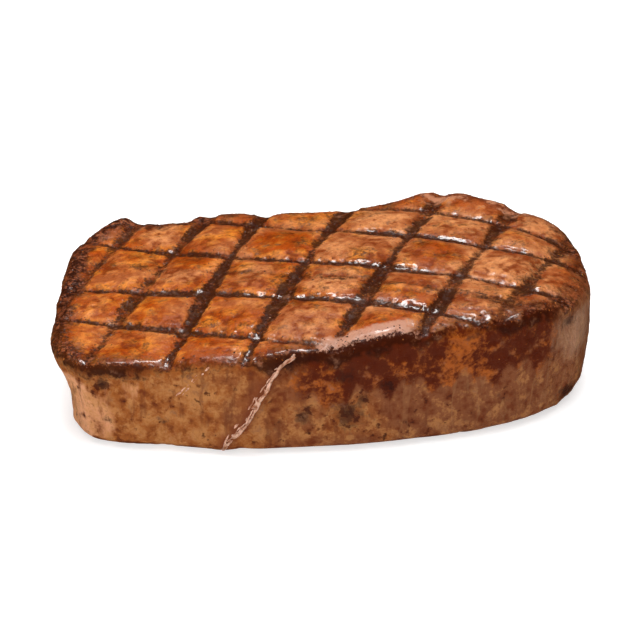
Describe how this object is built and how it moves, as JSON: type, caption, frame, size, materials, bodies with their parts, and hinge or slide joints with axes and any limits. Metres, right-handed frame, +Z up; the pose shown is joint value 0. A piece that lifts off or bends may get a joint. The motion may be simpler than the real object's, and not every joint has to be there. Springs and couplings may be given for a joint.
{
  "type": "grilled sirloin steak",
  "caption": "Thick boneless grilled beef steak with a diamond pattern of charred bar marks across its top, lying flat and ready to be set on a plate.",
  "frame": {"origin": "on the resting surface, under the middle of the steak's bounding box", "axes": "+Z up, +X along the steak's length towards its thick end, -Y towards the long side with the slanting seam of gristle"},
  "size_m": [0.1492, 0.1004, 0.0376],
  "materials": {
    "seared_beef": "browned beef with a moist, glossy sear, amber to tan on top with charred bar marks and taupe brown on the sides"
  },
  "bodies": {
    "root": {"steak": "seared_beef"}
  },
  "joints": []
}
